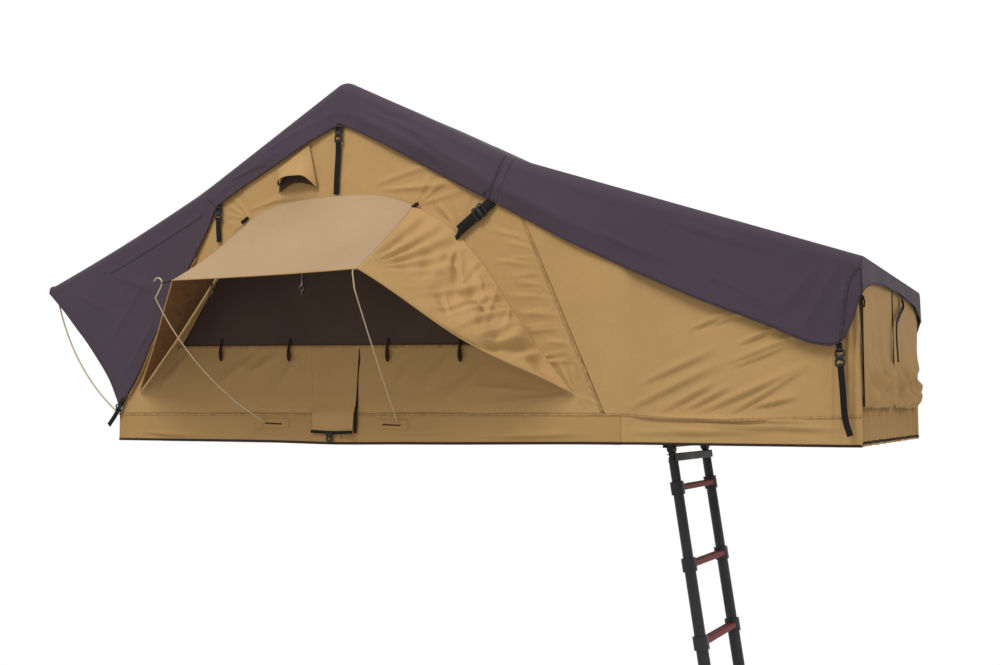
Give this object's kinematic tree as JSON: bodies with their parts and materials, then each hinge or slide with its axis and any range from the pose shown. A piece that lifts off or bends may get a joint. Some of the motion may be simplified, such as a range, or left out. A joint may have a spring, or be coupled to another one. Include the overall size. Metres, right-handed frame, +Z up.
{
  "type": "roof top tent",
  "caption": "Fold-out roof tent with hinged base, fan of hoops, canvas body, fly, raised window awning, covered entrance and telescopic ladder.",
  "frame": {"origin": "centre of the fixed base half's mounting face, on the underside of its two rails", "axes": "+X to the ladder end, +Y to the far side of the picture, +Z up"},
  "size_m": [3.5568, 1.8519, 3.0835],
  "materials": {
    "raw_aluminium": "satin",
    "panel": "satin",
    "zinc_steel": "satin",
    "spring_steel": "satin",
    "black_plastic": "matte",
    "canvas": "woven canvas",
    "canvas_skirt": "woven canvas",
    "mesh": "fine netting",
    "fly": "coated fabric",
    "mattress": "knitted cover",
    "ladder_black": "anodised",
    "ladder_red": "anodised",
    "rubber": "matte"
  },
  "bodies": {
    "base": {"mounting_rails": "raw_aluminium", "rail_bolts": "zinc_steel", "base_panel_fixed": "panel", "mattress_fixed": "mattress", "hinge_plates_fixed": "zinc_steel", "pivot_bolts_fixed": "zinc_steel", "rod_sockets_fixed": "black_plastic", "awning_rod_fixed": "spring_steel", "skirt_fixed": "canvas_skirt", "wall_near_fixed": "canvas", "wall_far_fixed": "canvas", "end_wall": "canvas", "roof_fixed": "canvas", "window_mesh_fixed": "mesh", "awning_fixed": "canvas", "awning_gusset_fixed": "canvas", "fly_roof_fixed": "fly", "fly_sides_fixed": "fly"},
    "fold_out": {"base_panel_fold": "panel", "mattress_fold": "mattress", "hinge_plates_fold": "zinc_steel", "pivot_bolts_fold": "zinc_steel", "rod_sockets_fold": "black_plastic", "awning_rod_fold": "spring_steel", "skirt_fold": "canvas_skirt", "wall_near_fold": "canvas", "wall_far_fold": "canvas", "roof_fold": "canvas", "window_mesh_fold": "mesh", "awning_fold": "canvas", "awning_gusset_fold": "canvas", "fly_roof_fold": "fly", "fly_sides_fold": "fly", "ladder_bracket": "ladder_red"},
    "left_hoop": {"hoop_left": "raw_aluminium"},
    "center_hoop": {"hoop_center": "raw_aluminium"},
    "right_hoop": {"hoop_right": "raw_aluminium"},
    "fly_rods": {"fly_arms": "spring_steel", "fly_awning": "fly", "fly_wings": "fly"},
    "entrance": {"entry_arms": "spring_steel", "entry_wall_near": "canvas", "entry_wall_far": "canvas", "entry_end": "canvas", "entry_roof": "canvas", "fly_entry": "fly", "fly_entry_sides": "fly"},
    "ladder_1": {"ladder_rails_1": "ladder_black"},
    "ladder_2": {"ladder_rails_2": "ladder_black", "ladder_rung_1": "ladder_red"},
    "ladder_3": {"ladder_rails_3": "ladder_black", "ladder_rung_2": "ladder_red"},
    "ladder_4": {"ladder_rails_4": "ladder_black", "ladder_rung_3": "ladder_red"},
    "ladder_5": {"ladder_rails_5": "ladder_black", "ladder_rung_4": "ladder_red"},
    "ladder_6": {"ladder_rails_6": "ladder_black", "ladder_rung_5": "ladder_red", "ladder_feet": "rubber"},
    "buttons": {"release_buttons": "ladder_red"}
  },
  "joints": [
    {"name": "base_fold", "type": "hinge", "parent": "base", "child": "fold_out", "pos_m": [0.57, 0, 0.175], "axis": [0, -1, 0], "range_deg": [0, 179.5], "deforming": ["wall_near_fixed", "wall_far_fixed", "end_wall", "roof_fixed", "window_mesh_fixed", "awning_fixed", "awning_gusset_fixed", "fly_roof_fixed", "fly_sides_fixed", "awning_rod_fixed", "wall_near_fold", "wall_far_fold", "roof_fold", "window_mesh_fold", "awning_fold", "awning_gusset_fold", "fly_roof_fold", "fly_sides_fold", "awning_rod_fold", "fly_awning", "fly_wings", "entry_wall_near", "entry_wall_far", "entry_end", "entry_roof", "fly_entry", "fly_entry_sides"]},
    {"name": "left_hoop_pivot", "type": "hinge", "parent": "base", "child": "left_hoop", "pos_m": [0.485, 0, 0.13], "axis": [0, -1, 0], "range_deg": [0, 54.35]},
    {"name": "center_hoop_pivot", "type": "hinge", "parent": "base", "child": "center_hoop", "pos_m": [0.63, 0, 0.175], "axis": [0, -1, 0], "range_deg": [0, 87]},
    {"name": "right_hoop_pivot", "type": "hinge", "parent": "fold_out", "child": "right_hoop", "pos_m": [0.655, 0, 0.13], "axis": [0, -1, 0], "range_deg": [-54.35, 0]},
    {"name": "fly_rod_pivot", "type": "hinge", "parent": "base", "child": "fly_rods", "pos_m": [-0.545, 0, 0.09], "axis": [0, -1, 0], "range_deg": [-121.87, 0]},
    {"name": "entrance_pivot", "type": "hinge", "parent": "fold_out", "child": "entrance", "pos_m": [1.7, 0, 0.09], "axis": [0, -1, 0], "range_deg": [0, 143.66]},
    {"name": "ladder_swing", "type": "hinge", "parent": "fold_out", "child": "ladder_1", "pos_m": [1.747, 0, -0.01], "axis": [0, -1, 0], "range_deg": [-20, 45]},
    {"name": "ladder_slide_2", "type": "slide", "parent": "ladder_1", "child": "ladder_2", "axis": [-0.1478, 0, 0.989], "range_m": [0, 0.0684]},
    {"name": "ladder_slide", "type": "slide", "parent": "ladder_2", "child": "ladder_3", "axis": [-0.1478, 0, 0.989], "range_m": [0, 0.228]},
    {"name": "ladder_slide_4", "type": "slide", "parent": "ladder_3", "child": "ladder_4", "axis": [-0.1478, 0, 0.989], "range_m": [0, 0.228]},
    {"name": "ladder_slide_5", "type": "slide", "parent": "ladder_4", "child": "ladder_5", "axis": [-0.1478, 0, 0.989], "range_m": [0, 0.228]},
    {"name": "ladder_slide_6", "type": "slide", "parent": "ladder_5", "child": "ladder_6", "axis": [-0.1478, 0, 0.989], "range_m": [0, 0.228]},
    {"name": "button_press", "type": "slide", "parent": "ladder_6", "child": "buttons", "axis": [-0.989, 0, -0.1478], "range_m": [0, 0.003], "stiffness_N_per_m": 400}
  ],
  "couplings": [
    {"joint": "left_hoop_pivot", "follows": "base_fold", "ratio": 0.30254},
    {"joint": "center_hoop_pivot", "follows": "base_fold", "ratio": 0.48442},
    {"joint": "right_hoop_pivot", "follows": "base_fold", "ratio": -0.30254},
    {"joint": "fly_rod_pivot", "follows": "base_fold", "ratio": -0.67866},
    {"joint": "entrance_pivot", "follows": "base_fold", "ratio": 0.80004},
    {"joint": "ladder_slide_2", "follows": "ladder_slide", "ratio": 0.3},
    {"joint": "ladder_slide_4", "follows": "ladder_slide", "ratio": 1},
    {"joint": "ladder_slide_5", "follows": "ladder_slide", "ratio": 1},
    {"joint": "ladder_slide_6", "follows": "ladder_slide", "ratio": 1}
  ]
}
